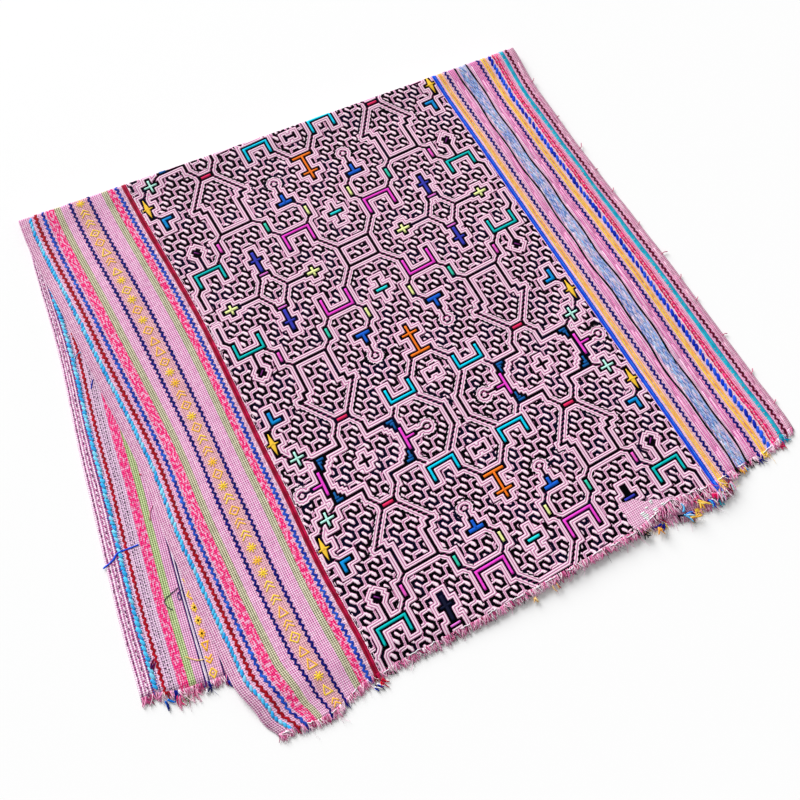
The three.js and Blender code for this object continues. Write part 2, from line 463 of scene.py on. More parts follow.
rightBands = [
    (350, (212, 108, 170), (255, 236, 246), 0.2, 0.8),
    (574, (10, 46, 186), (20, 80, 226), 0.3, 0),
    (579.2, (232, 186, 210), (250, 222, 236), 0.3, 0.3),
    (582, (226, 150, 150), (252, 222, 200), 0.4, 0.6),
    (588.4, (214, 150, 192), (250, 222, 238), 0.3, 0.6),
    (598, (216, 84, 164), (252, 206, 234), 0.2, 0.5),
    (607, (220, 160, 200), (248, 220, 234), 0.3, 0.5),
    (611, (150, 172, 220), (220, 206, 230), 0.7, 0.3),
    (626, (220, 160, 200), (248, 220, 234), 0.3, 0.5),
    (629.6, (216, 84, 164), (252, 206, 234), 0.2, 0.5),
    (641, (216, 156, 200), (248, 220, 234), 0.3, 0.5),
    (647.4, (228, 150, 150), (252, 222, 200), 0.4, 0.6),
    (655.6, (232, 190, 208), (248, 220, 234), 0.4, 0.4),
    (665.4, (230, 70, 140), (252, 206, 224), 0.4, 0.5),
    (673.6, (222, 160, 196), (246, 214, 230), 0.3, 0.5),
    (677.4, (10, 130, 166), (70, 186, 206), 0.5, 0.3),
    (683, (218, 126, 176), (248, 212, 230), 0.4, 0.5),
    (691.4, (218, 120, 166), (254, 222, 236), 0.35, 0.7),
]
# the same on the wrong side, as far in as the strip at the left shows it
wrongBands = [
    (0, (180, 70, 146), (255, 236, 248), 0.4, 0.9),
    (7.8, (160, 60, 124), (236, 180, 214), 0.3, 0.5),
    (9.8, (226, 176, 214), (252, 232, 244), 0.3, 0.5),
    (23, (206, 160, 200), (248, 224, 240), 0.3, 0.8),
    (35, (248, 4, 118), (252, 186, 218), 0.8, 0.12),
    (44.4, (104, 146, 56), (226, 238, 184), 0.2, 0.9),
    (53.4, (204, 94, 166), (252, 218, 240), 0.2, 0.9),
    (64, (236, 206, 230), (250, 232, 244), 0.3, 0.3),
    (70, (216, 130, 172), (250, 214, 228), 0.3, 0.8),
    (80.5, (206, 110, 170), (252, 218, 238), 0.2, 0.9),
]

weave = {
    "pitch": 2.4,            # from one rib or pick to the next
    "grooves": 0.2,          # painted shade: how much darker it is between ribs
    "unevenness": 0.45,
    "fleck": (0.5, 0.56),    # the noise between which a fleck of the second colour shows
    "wrongPick": (120, 50, 104),
    "bump": 0.0003,          # metres
}


def wovenFinish():
    # Bands by their place across the cloth, flecked along the warp; pale ribs and picks stand over the
    # deeper colour as a grid, and painted shade darkens the grooves between the ribs.
    finish = Finish("woven_cotton", 0.9, 0.08)
    s, t, side = finish.parts(finish.attribute("flatPlace", output="Vector"))
    fine = finish.noise(finish.vector(s * 0.9, t * 0.35, side), 1.0)
    ragged = s + (fine - 0.5) * 1.8
    slub = finish.noise(finish.vector(s * 0.6, t * 0.05, side), 1.0, 3.0)
    cross = finish.noise(finish.vector(s * 0.04, t * 0.5, side + 7.0), 1.0, 3.0)
    fleckGrain = finish.noise(finish.vector(s * 0.5, t * 0.2, side + 3.0), 1.0, 2.0)
    turns = 2 * math.pi / weave["pitch"]
    ribs = (s * turns + (slub - 0.5) * 2.4).wave()
    picks = (t * turns + (cross - 0.5) * 3.4).wave()
    half = cloth["width"] / 2
    share = ragged / cloth["width"]
    onRight = s.between(half - 1, half + 1)

    def bandRamp(colourOf):
        ramps = []
        for bands in (leftBands, rightBands, wrongBands):
            stops = [(row[0] / cloth["width"], colourOf(row)) for row in bands]
            ramps.append(finish.node("ShaderNodeValToRGB", {"stops": stops}, {"Fac": share}))
        return finish.mix(side, finish.mix(onRight, ramps[0], ramps[1]), ramps[2])

    base = bandRamp(lambda row: srgb(*row[1]))
    second = bandRamp(lambda row: srgb(*row[2]))
    amount, grid = finish.parts(bandRamp(lambda row: (row[3], row[4], 0.0, 1.0)))[:2]
    colour = finish.mix(fleckGrain.between(*weave["fleck"]) * amount, base, second)
    pale = ribs.between(-0.1, 0.8).most(picks.between(0.1, 0.9) * 0.75)
    colour = finish.mix(pale * grid, colour, second)
    # painted shade in the grooves between the ribs, then the yarn's own uneven tone from slubs and picks
    shade = 1.0 - (1.0 - ribs.between(-1.0, 0.0)) * weave["grooves"]
    shade = shade - (slub - 0.5) * weave["unevenness"] - (cross - 0.5) * weave["unevenness"]
    colour = finish.mix(1.0, colour, finish.vector(shade, shade * 0.98, shade), "MULTIPLY")
    # the wrong side has dark picks in the grooves
    rows = (1.0 - ribs.between(-0.6, 0.1)) * picks.between(-0.2, 0.6) * side
    rows = rows * (0.1 + fleckGrain.between(0.4, 0.6) * 0.5)
    colour = finish.mix(rows, colour, srgb(*weave["wrongPick"]))
    return finish.finishWith(colour, ribs * 0.35 + picks * 0.35 + fine * 0.5, weave["bump"])


def buildCloth():
    # One closed sheet: both faces follow the fold rule, and strips close its four edges.
    bands = [row[0] for row in leftBands + rightBands[1:]]
    filler = np.linspace(0, cloth["width"], cloth["columns"])
    across = np.unique(np.round(np.concatenate([bands, filler]), 1))
    keep = np.concatenate([[True], np.diff(across) > cloth["nearest"]])
    keep[-1] = True
    s = across[keep][None, :]
    upper, turning, lower = (np.linspace(0, 1, rows) for rows in cloth["rows"])
    upper = 1 - (1 - upper) ** 1.15
    turning = turning[1:]
    lower = lower[1:] ** 1.2
    first, start, end, last = frontOf(s), alongAt(s, 0.0), alongAt(s, turnLength), backOf(s)
    parts = [
        first + (start - first) * upper[:, None],
        start + (end - start) * turning[:, None],
        end + (last - end) * lower[:, None],
    ]
    t = np.concatenate(parts)
    s = np.broadcast_to(s, t.shape)
    onFloor = ease(pastFold(s, t) / turnLength)
    rightFace = cloth["rightFace"] + (cloth["floorFace"] - cloth["rightFace"]) * onFloor
    outer = foldCloth(s, t, rightFace)
    inner = foldCloth(s, t, np.full_like(t, cloth["wrongFace"]))
    rows, columns = t.shape
    count = rows * columns
    corner = np.arange(count).reshape(rows, columns)
    rim = np.concatenate([corner[0, :-1], corner[:-1, -1], corner[-1, :0:-1], corner[:0:-1, 0]])
    after = np.roll(rim, -1)
    faces = gridFaces(rows, columns)
    sides = np.stack([rim, rim + count, after + count, after], axis=-1)
    faces = np.concatenate([faces, faces[:, ::-1] + count, sides])
    points = np.concatenate([outer.reshape(-1, 3), inner.reshape(-1, 3)])
    marks = {"flatPlace": np.stack([flatMarks(s, t, 0.0), flatMarks(s, t, 1.0)])}
    piece = addPiece("cloth_sheet", toFrame(points), faces, wovenFinish(), marks)
    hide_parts("folded_cloth")
    return piece


clothSheet = buildCloth()
print("the striped cloth is folded")


# The maze of the embroidered middle, charted by rule on rounded places. It mirrors about its middle
# line and about lines across the cloth, so its places are (out from the middle, along from a mirror).

chart = {
    "middle": 358.5,
    "mirrorAt": 466.0,
    "half": 243.0,           # from one mirror line to the next
    "boxMiddle": 122.0,
    "sides": (142.0, 574.2),
    "row": 2.75,             # width of one stitched row
    "outline": 1.9,          # dark margin of a coloured motif
    "bolder": 0.4,           # added to the half width of every road
    "widest": 2.15,          # it is dark farther than this from the strokes
    "zoneEdge": 1.5,         # dark edge where the hooks meet the rows along a road
    "beads": 1.3,            # how closely the slanting roads are beaded
    "cell": 1.25,            # of the mesh
    "reach": (-8.0, 735.0),  # of the mesh along the cloth
    "panels": 3,
    "frontMargin": 3.0,
    "lift": 0.6,             # dark ground above the middle surface
    "relief": 0.42,
    "sunk": 0.2,             # the layer's edge lies this far under the middle surface
    "rim": 1.6,
    "barePatch": (466.0, 521.0, 37.0),    # left and right side, and its height at the left one
    "patchSlope": 0.45,
    "motifTurn": 0.55,       # a motif farther round the fold than this is left out
}

# How far the hand-laid motifs drift along the cloth, at its left, middle and right.
weftDrift = {
    "halfWidth": 192.0,      # from the middle to either of the other two
    "along": [0, 50, 75, 135, 185, 225, 265, 310, 400, 466, 530, 600, 700],
    "left": [5, 5, 6, -5, -6, -5, 0, 0, 0, 0, 0, 1, 3],
    "middle": [8, 8, 7, 0, -1, 0, 1, 0, 1, 0, 1, 3, 6],
    "right": [9, 9, 9, -2, -2, 2, 4, 4, 5, 2, 0, 2, 4],
}

hooks = {
    "next": (9.0, 11.75),    # from a hook to the next one in its chain
    "beside": (10.9, -13.6),
    "stroke": 1.5,
    "path": [
        (2.7, 8.75), (-2.3, 8.75), (-2.3, 3.4), (2.3, -2.0), (2.3, -8.75), (-2.7, -8.75), (-6.3, -3.0),
    ],
}


def ring(out, along, radius):
    # twelve short sides about a middle
    turn = np.linspace(0, 2 * math.pi, 13)
    return [(out + radius * math.cos(a), along + radius * math.sin(a)) for a in turn]


# half width, slanting or not, path
roads = [
    (1.15, 0, [(0, 15), (21, 15), (21, 0)]),
    (0.8, 1, [(21, 15), (39, 37)]),
    (0.8, 1, [(40, 65), (31, 75)]),
    (0.8, 1, [(31, 89), (41, 101)]),
    (0.8, 1, [(71, 217), (63, 207)]),
    (0.8, 1, [(174, 216), (183, 211)]),
    (0.8, 1, [(31, 206), (10, 230)]),
    (1.15, 0, [(10, 230), (10, 243)]),
    (0.8, 1, [(14.5, 162), (30, 183)]),
    (1.15, 0, [(200, 44), (207, 36), (207, 16)]),
    (1.15, 0, [(182, 67), (182, 86)]),
    (0.8, 1, [(198, 157), (206, 165)]),
    (0.8, 1, [(205, 192), (198, 203)]),
    (0.8, 0, [(50.5, 118), (50.5, 131)]),
    (0.4, 1, ring(50.5, 136.5, 4)),
    (0.8, 0, [(57.5, 243), (46, 243)]),
    (0.4, 1, ring(40, 243, 4)),
    (0.8, 0, [(190, 243), (200, 243)]),
    (0.4, 1, ring(204, 243, 4)),
    (1.15, 0, [(0, 190), (6.5, 190)]),
    (1.15, 0, [(6.5, 187), (6.5, 193)]),
    (0.8, 0, [(0, 46), (0, 76)]),
    (0.8, 0, [(0, 46), (4, 46)]),
]
# the same, out from the box's own middle line to both sides
boxRoads = [
    (0.8, 1, [(44, 66), (33, 78)]),
    (0.8, 1, [(33, 91), (21.5, 101)]),
    (1.15, 0, [(0, 101), (21.5, 101), (21.5, 139), (27.5, 139), (27.5, 147), (36, 147)]),
    (0.8, 1, [(36, 147), (9, 184)]),
    (0.8, 1, [(9, 191), (18, 204)]),
    (1.15, 0, [(18, 204), (18, 216), (51.5, 216), (51.5, 243)]),
    (0.8, 1, [(20.5, 0), (8, 19)]),
    (1.15, 0, [(8, 19), (8, 24)]),
    (1.15, 0, [(20.5, 0), (47, 0)]),
    (1, 0, [(0, 243), (7, 243)]),
    (1, 0, [(0, 236), (0, 243)]),
]

magenta, teal, cyan, orange = (246, 70, 214), (0, 190, 190), (0, 212, 246), (255, 124, 30)
indigo, royalBlue, steelBlue, plum = (52, 56, 180), (16, 92, 205), (14, 90, 160), (128, 40, 128)
gold, mint, lemon = (255, 204, 60), (190, 250, 235), (244, 250, 168)
# colour, half width or half widths from end to end, path
motifs = [
    (magenta, 1.6, [(41, 40), (41, 62), (76, 62), (76, 40)]),
    (teal, 1.6, [(165.5, 44), (165.5, 62.5), (198.5, 62.5), (198.5, 44)]),
    (cyan, 1.6, [(31.5, 182), (31.5, 199.5), (62.5, 199.5), (62.5, 182)]),
    ((240, 246, 160), 1.7, [(31, 75.5), (31, 88.5)]),
    ((50, 200, 170), 1.7, [(88, 77), (88, 90)]),
    ((240, 90, 200), 1.7, [(154, 78), (154, 91)]),
    ((40, 222, 226), 1.7, [(-7.5, 62), (7.5, 62)]),
    ((240, 120, 225), 1.3, [(116, 26), (128, 26)]),
    (indigo, 2.2, [(122, 30), (122, 60)]),
    (indigo, 1.5, [(115, 47.5), (129, 47.5)]),
    (royalBlue, 2.3, [(41.5, 104.5), (59.5, 104.5)]),
    (royalBlue, 1.9, [(50.5, 104.5), (50.5, 117)]),
    (orange, 1.7, [(-13, 158), (13, 158)]),
    (orange, 1.5, [(0, 158), (0, 120)]),
    (orange, 1.4, [(-10, 131), (10, 131)]),
    ((225, 40, 95), 1.9, [(115.5, 187.5), (128.5, 187.5)]),
    (gold, (0.4, 1.3, 2.6, 3.4, 2.6, 1.3, 0.4), [(207.5, 164), (207.5, 192)]),
    (gold, (0.4, 1.2, 2.2, 1.2, 0.4), [(200.5, 178), (214.5, 178)]),
    ((0, 140, 215), 2.0, [(196.5, 141), (196.5, 154.5), (186, 154.5)]),
    (mint, 1.4, [(190, 197.5), (190, 214.5)]),
    (mint, 1.4, [(181.5, 206), (198.5, 206)]),
    (lemon, 1.9, [(56.5, 0), (73.5, 0)]),
    (lemon, 1.6, [(65, -6.5), (65, 6.5)]),
    (lemon, 1.9, [(171.5, 0), (188.5, 0)]),
    (lemon, 1.6, [(180, -6.5), (180, 6.5)]),
    (plum, 0.9, [(179.5, 89.5), (184.5, 94.5)]),
    (plum, 0.9, [(179.5, 94.5), (184.5, 89.5)]),
    (magenta, 1.7, [(69.5, 229), (69.5, 257)]),
    (magenta, 1.3, [(69.5, 243), (57.5, 243)]),
    (magenta, 1.7, [(177, 229), (177, 257)]),
    (magenta, 1.3, [(177, 243), (190, 243)]),
]
motifThread = {
    "low": 0.5,              # heights of its low and top corners
    "top": 1.25,
    "darkAt": (240.0, 27.0),    # near this place it is near-black instead
    "darkReach": 14.0,
    "dark": (10, 16, 46),
}
# blue steps in the corners of the large box, out from its middle line to both sides
boxSteps = [
    (steelBlue, 1.7, [(41.5, 218.4), (50, 218.4)]),
    (steelBlue, 1.7, [(45, 221.6), (50, 221.6)]),
    (steelBlue, 1.3, [(48.3, 220), (48.3, 229)]),
]


def bothSides(rows):
    # each row's path laid out from the box's middle line, once to either side
    made = []
    for first, second, path in rows:
        for way in (-1, 1):
            made.append((first, second, [(chart["boxMiddle"] + way * out, along) for out, along in path]))
    return made


roads += bothSides(boxRoads)
motifs += bothSides(boxSteps)


def driftAt(s, along):
    # the drift along the cloth, straight from the middle's value to that of the nearer side
    share = (s - chart["middle"]) / weftDrift["halfWidth"]
    left, middle, right = (
        standsOut({"along": weftDrift["along"], "out": weftDrift[side]}, along)
        for side in ("left", "middle", "right")
    )
    return middle + (left - middle) * np.maximum(-share, 0) + (right - middle) * np.maximum(share, 0)


def chartPlace(s, t):
    # flat places as places on the chart: the drift taken off, then folded about the mirror lines
    along = t
    for repeat in range(4):
        along = t - driftAt(s, along)
    out = np.abs(s - chart["middle"])
    turned = np.mod(along - chart["mirrorAt"], 2 * chart["half"])
    return out, np.minimum(turned, 2 * chart["half"] - turned)


farAway = 20.0    # no distance on the chart is kept past this


def pathDistance(x, y, path):
    # Distance from places to a path of straight lines, with square corners and ends: for each line,
    # the larger of how far aside of it a place lies and how far past its end.
    nearest = np.full(np.shape(x), 99.0)
    for (x0, y0), (x1, y1) in zip(path[:-1], path[1:]):
        length = math.dist((x0, y0), (x1, y1))
        runX, runY = (x1 - x0) / length, (y1 - y0) / length
        along = (x - x0) * runX + (y - y0) * runY
        aside = np.abs((x - x0) * runY - (y - y0) * runX)
        nearest = np.minimum(nearest, np.maximum(aside, np.maximum(-along, along - length)))
    return nearest


def roadField(s, t):
    # distance to the dark of the roads and round the motifs, and where the nearest one slants
    out, along = chartPlace(s, t)
    field = np.full(s.shape, farAway)
    slant = np.zeros(s.shape)
    bold = [(half + chart["bolder"], slanting, path) for half, slanting, path in roads]
    margin = [(float(np.mean(half)) + chart["outline"], 0, path) for colour, half, path in motifs]
    for half, slanting, path in bold + margin:
        distance = pathDistance(out, along, path) - half
        slant = np.where(distance < field, slanting, slant)
        field = np.minimum(field, distance)
    return field, slant


def hookField(s, t):
    # distance to the strokes of the hooks, for every other chain: each place is measured from the
    # hooks round it in their slanting lattice, with a slow wander as of hand drawing
    aS, aT = hooks["next"]
    bS, bT = hooks["beside"]
    x = s - chart["middle"] + 0.7 * np.sin(t / 19.0 + s / 53.0) + 0.5 * np.sin(s / 13.0 - t / 37.0)
    y = t - chart["mirrorAt"] + 0.7 * np.sin(s / 23.0 + 2.0) + 0.5 * np.sin(t / 17.0 + s / 29.0)
    area = aS * bT - aT * bS
    i = np.round((x * bT - y * bS) / area)
    j = np.round((aS * y - aT * x) / area)
    even, odd = np.full(s.shape, farAway), np.full(s.shape, farAway)
    for stepI in (-1, 0, 1, 2):
        for stepJ in (-1, 0, 1):
            localX = x - (i + stepI) * aS - (j + stepJ) * bS
            localY = y - (i + stepI) * aT - (j + stepJ) * bT
            distance = pathDistance(localX, localY, hooks["path"]) - hooks["stroke"]
            onOdd = np.mod(j + stepJ, 2) == 1
            even = np.where(onOdd, even, np.minimum(even, distance))
            odd = np.where(onOdd, np.minimum(odd, distance), odd)
    return even, odd


def rowCrest(road, even, odd):
    # distance to the nearest edge of a stitched row, and nought or less on the dark ground
    row = chart["row"]
    zone = np.minimum(np.minimum(road, np.abs(road - row)), 2 * row - road)
    strokes = np.minimum(even, odd)
    atZone = (road < 2 * row + chart["zoneEdge"]) & (even < odd)
    beyond = np.minimum(np.minimum(strokes, np.abs(even - odd) / 2), road - 2 * row)
    beyond = np.where(atZone, 0, beyond)
    beyond = np.where(strokes > chart["widest"], 0, beyond)
    return np.where(road < 2 * row, zone, beyond)


def insideField(s, t):
    # how far inside the stitching a place lies, with a ragged front and the bare patch left out
    left, right = chart["sides"]
    ragged = 0.9 * np.sin(s / 2.3) + 0.8 * np.sin(s / 5.1 + 1.0)
    front = t - frontOf(s) - chart["frontMargin"] - ragged
    patchLow, patchHigh, patchTop = chart["barePatch"]
    edge = 1.3 * np.sin(s / 3.1) + 1.1 * np.sin(t / 2.7)
    above = t - patchTop + (s - patchLow) * chart["patchSlope"]
    patch = np.maximum(np.maximum(patchLow - s, s - patchHigh), above) + edge
    turn = turnLength + 3.0 - pastFold(s, t)
    inside = np.minimum(np.minimum(front, patch), turn)
    return np.minimum(inside, np.minimum(s - left, right - s) + 0.4)


stitches = {
    "seam": (178, 78, 136),      # painted shade in the groove between two rows
    "row": (240, 192, 220),
    # painted highlight along the crest of each row
    "crest": (255, 238, 246),
    "hatch": (204, 110, 166),    # painted shade between the slanting stitches of a row
    "hatchPitch": 2.1,
    "ink": (1, 1, 3),
    "blueInk": (3, 6, 34),       # in patches of the dark ground
    "unevenness": 1.7,
    "bump": 0.00035,             # metres
}


def stitchedFinish():
    # Rows of slanting pale stitches that follow the dark maze; the rows are told from the distances
    # kept at the points, so their edges stay sharp between them. A slanting road is beaded, and so
    # is a dark line beside its two rows. Each row has a painted highlight on its crest and painted
    # shade in the grooves between rows and between its stitches.
    finish = Finish("pale_stitches", 0.85, 0.04)
    s, t = finish.parts(finish.attribute("flatPlace", output="Vector"))[:2]
    road, even, odd = finish.parts(finish.attribute("mazeField", output="Vector"))
    slant = finish.attribute("slanting")
    row = chart["row"]
    grain = finish.noise(finish.vector(s * 0.9, t * 0.9, 0.0), 1.0, 2.0)
    patchy = finish.noise(finish.vector(s * 0.03, t * 0.03, 5.0), 1.0, 3.0)
    uneven = (grain - 0.5) * stitches["unevenness"]
    beads = (t * chart["beads"] + road * (math.pi / row) + grain * 3.0).wave() * slant
    strokes = even.least(odd) + uneven
    beyond = road.between(2 * row - 0.1, 2 * row + 0.1)
    darkRoad = 1.0 - (road + uneven + beads * 0.7).between(0.0, 0.45)
    seam = (road - 2 * row).size() + beads * 0.6
    darkSeam = (1.0 - seam.between(0.75, 1.15)) * slant.between(0.4, 0.6)
    widest = chart["widest"]
    zoneEdge = 2 * row + chart["zoneEdge"]
    atZone = 1.0 - (road + uneven).between(zoneEdge - 0.2, zoneEdge + 0.2)
    atZone = atZone * (odd - even).between(-0.2, 0.2)
    darkHook = (1.0 - strokes.between(0.0, 0.4)).most(strokes.between(widest, widest + 0.3)).most(atZone)
    dark = darkRoad.most(darkHook * beyond).most(darkSeam)
    inZone = road.least((road - row).size()).least(2 * row - road)
    outside = strokes.least((even - odd).size() * 0.5).least(road - 2 * row)
    crest = inZone + (outside - inZone) * beyond
    hatch = ((s - t) * (2 * math.pi / stitches["hatchPitch"]) + (grain - 0.5) * 3.0).wave()
    dyes = {name: srgb(*stitches[name]) for name in ("seam", "row", "crest", "hatch", "ink", "blueInk")}
    # painted shade in the grooves between rows, painted highlight on the crests, and painted shade between
    # the slanting stitches
    pale = finish.mix(crest.between(0.05, 0.6), dyes["seam"], dyes["row"])
    pale = finish.mix(crest.between(0.5, 1.0), pale, dyes["crest"])
    pale = finish.mix((1.0 - hatch.between(-1.0, 0.0)) * (0.6 - beyond * 0.35), pale, dyes["hatch"])
    ink = finish.mix(patchy.between(0.5, 0.62) * 0.8, dyes["ink"], dyes["blueInk"])
    colour = finish.mix(dark, pale, ink)
    height = crest.between(0.0, 1.4) * (1.0 - dark) + hatch * 0.15 + grain * 0.2
    return finish.finishWith(colour, height, stitches["bump"])


def buildStitching():
    # A layer of rows over the middle of the cloth, cut into panels one above the other.
    left, right = chart["sides"]
    front, back = chart["reach"]
    columns = round((right - left) / chart["cell"]) + 1
    rows = round((back - front) / chart["cell"]) + 1
    s, t = np.meshgrid(np.linspace(left, right, columns), np.linspace(front, back, rows))
    inside = insideField(s, t)
    road, slant = roadField(s, t)
    even, odd = hookField(s, t)
    crest = np.clip(rowCrest(road, even, odd) / (chart["row"] / 2), 0, 1)
    relief = chart["relief"] * (1 - (1 - crest) ** 2)
    height = (chart["lift"] + relief + chart["sunk"]) * ease(inside / chart["rim"]) - chart["sunk"]
    points = toFrame(foldCloth(s, t, height))
    places = {
        "flatPlace": flatMarks(s, t),
        "mazeField": np.stack([road, even, odd], axis=-1),
        "slanting": slant[..., None],
    }
    finish = stitchedFinish()
    cuts = np.linspace(0, rows - 1, chart["panels"] + 1).astype(int)
    panels = []
    for number, (low, high) in enumerate(zip(cuts[:-1], cuts[1:]), 1):
        part = slice(low, high + 1)
        faces = gridFaces(high + 1 - low, columns)
        faces = faces[inside[part].ravel()[faces].min(axis=1) >= 0]
        used, faces = np.unique(faces, return_inverse=True)
        marks = {name: field[part].reshape(-1, field.shape[-1])[used] for name, field in places.items()}
        spots = points[part].reshape(-1, 3)[used]
        panels.append(addPiece("stitching_" + str(number), spots, faces, finish, marks))
    return panels


stitchPanels = buildStitching()
print("the maze is stitched in", len(stitchPanels), "panels")


def sectionFaces(rows):
    # the faces of a four-cornered section carried through so many rows, with both ends closed
    corner = np.arange(rows * 4).reshape(rows, 4)
    beside = np.roll(corner, -1, axis=1)
    sides = np.stack([corner[:-1], corner[1:], beside[1:], beside[:-1]], axis=-1).reshape(-1, 4)
    return np.concatenate([sides, [corner[0], corner[-1][::-1]]])


class Threads:
    # gathers closed ribbons of one finish, laid along paths on the flat, then makes them one piece
    def __init__(self):
        self.points, self.faces, self.colours, self.runs = [], [], [], []
        self.count = 0

    def lay(self, path, half, low, top, colour, wrong=False):
        # A four-point section carried along the path: its low corners at the full width and its top
        # ones drawn in, square to the path and mitred at its corners.
        path = np.asarray(path, float)
        half = np.broadcast_to(half, len(path))
        step = np.diff(path, axis=0)
        length = np.hypot(step[:, 0], step[:, 1])
        along = step / length[:, None]
        before = np.concatenate([along[:1], along])
        after = np.concatenate([along, along[-1:]])
        mean = before + after
        mean = mean / np.maximum(np.hypot(mean[:, 0], mean[:, 1]), 1e-6)[:, None]
        stretch = 1 / np.maximum((mean * before).sum(axis=1), 0.5)
        normal = np.stack([-mean[:, 1], mean[:, 0]], axis=1) * (half * stretch)[:, None]
        spots = path[:, None, :] + normal[:, None, :] * np.array(thread["offsets"])[None, :, None]
        heights = np.array([low, top, top, low])
        heights = np.broadcast_to(-heights if wrong else heights, spots.shape[:2])
        points = foldCloth(spots[..., 0], spots[..., 1], heights)
        faces = sectionFaces(len(path))
        colours = np.broadcast_to(np.asarray(colour, float), (len(path), 3))
        run = np.concatenate([[0], np.cumsum(length)])
        self.keep(points, faces[:, ::-1] if wrong else faces, colours, run)

    def keep(self, points, faces, colours, run):
        # a colour and a length run for every four points
        self.points.append(points.reshape(-1, 3))
        self.faces.append(faces + self.count)
        self.colours.append(np.repeat(eyeToLinear(colours), 4, axis=0))
        self.runs.append(np.repeat(run, 4))
        self.count += 4 * len(run)

    def make(self, name, finish):
        # the piece, with the colours and the length run kept at its points
        marks = {"threadColour": np.concatenate(self.colours), "run": np.concatenate(self.runs)}
        points = toFrame(np.concatenate(self.points))
        return addPiece(name, points, np.concatenate(self.faces), finish, marks)


thread = {
    "offsets": (-1.0, -0.6, 0.6, 1.0),    # across the section, as shares of its half width
    # painted shade: the thread's colour is darkened to this between the turns of its stitches
    "darkest": 0.86,
    "turns": 0.2,            # painted highlight: how much lighter the top of each turn is
    "mottle": 0.4,
    "bump": 0.0002,          # metres
}


def threadFinish(name, pitch, roughness=0.7):
    # dyed thread, with painted shade and painted highlight in a wave along its run for the turns of its
    # stitches
    finish = Finish(name, roughness, 0.1)
    colour = finish.attribute("threadColour", output="Color")
    run = finish.attribute("run")
    place = finish.node("ShaderNodeTexCoord", output="Object")
    grain = finish.noise(place, 1400.0, 2.0)
    slow = finish.noise(place, 160.0, 2.0)
    turns = (run * (2 * math.pi / pitch) + (grain - 0.5) * 2.0).wave()
    # painted shade between the turns and painted highlight on their tops, with a slow random mottle of the
    # thread's tone
    shade = thread["darkest"] + turns.between(-1.0, 0.3) * thread["turns"] + (slow - 0.5) * thread["mottle"]
    colour = finish.mix(1.0, colour, finish.vector(shade, shade, shade), "MULTIPLY")
    return finish.finishWith(colour, turns * 0.5 + grain * 0.5, thread["bump"])


def walk(path, step):
    # a path of straight lines with further points put in, at most a step apart
    spots = [np.array([path[0]], float)]
    for start, end in zip(path[:-1], path[1:]):
        count = max(1, int(math.ceil(math.dist(start, end) / step)))
        share = np.linspace(0, 1, count + 1)[1:, None]
        spots.append(np.array(start) + (np.array(end, float) - np.array(start)) * share)
    return np.concatenate(spots)


def buildMotifs():
    # Each motif once in every mirrored place that falls on the stitching.
    threads = Threads()
    done = set()
    for colour, half, path in motifs:
        spots = walk(path, 3.0)
        halves = np.atleast_1d(half)
        width = np.interp(np.linspace(0, 1, len(spots)), np.linspace(0, 1, len(halves)), halves)
        for repeat in (-2, 0, 2):
            mirror = chart["mirrorAt"] + repeat * chart["half"]
            for wayOut in (1, -1):
                for wayAlong in (1, -1):
                    s = chart["middle"] + wayOut * spots[:, 0]
                    t = mirror + wayAlong * spots[:, 1]
                    t = t + driftAt(s, t)
                    mark = (round(float(s.mean())), round(float(t.mean())), round(float(np.ptp(s))))
                    pastTurn = pastFold(s, t).max() > chart["motifTurn"] * turnLength
                    if mark in done or pastTurn or insideField(s, t).min() < 0.5:
                        continue
                    done.add(mark)
                    away = math.dist(motifThread["darkAt"], (s.mean(), t.mean()))
                    dye = motifThread["dark"] if away < motifThread["darkReach"] else colour
                    low, top = motifThread["low"], motifThread["top"]
                    threads.lay(np.stack([s, t], axis=1), width, low, top, dye)
    return threads.make("stitched_motifs", threadFinish("motif_thread", 1.0))


motifPiece = buildMotifs()
print("the motifs are laid")


navy, deepBlue, brightBlue, skyBlue = (14, 14, 124), (12, 40, 160), (16, 78, 224), (76, 198, 250)
inkBlue, violetInk, darkRed, hotPink = (10, 10, 96), (24, 8, 80), (142, 4, 22), (255, 36, 128)
black, white = (6, 6, 10), (246, 240, 246)

border = {
    "zigzagPitch": 6.8,
    "low": 0.2,              # heights of a thread's low and top corners
    "top": 0.95,
    "frontMargin": 1.5,
    "backMargin": 1.0,
    "turnShare": 0.55,       # how far round the fold the raised lines run
    "pastTurn": 4.0,         # and where they begin again on the lower layer
    "strokeStep": 3.0,
    "dashRun": (0.75, 1.2),  # shares of a dash's length and gap, and of its colour
    "dashGap": (0.6, 1.4),
    "dashShade": (0.92, 1.0),
    "markLow": 0.2,          # heights of the woven marks' threads
    "markTop": 0.75,
    "markMargin": 4.0,
    "wideBand": 8.0,         # a band wider than this has whole marks
    "wrongMarksFrom": 1166.0,    # where along the cloth they begin on the strip
}
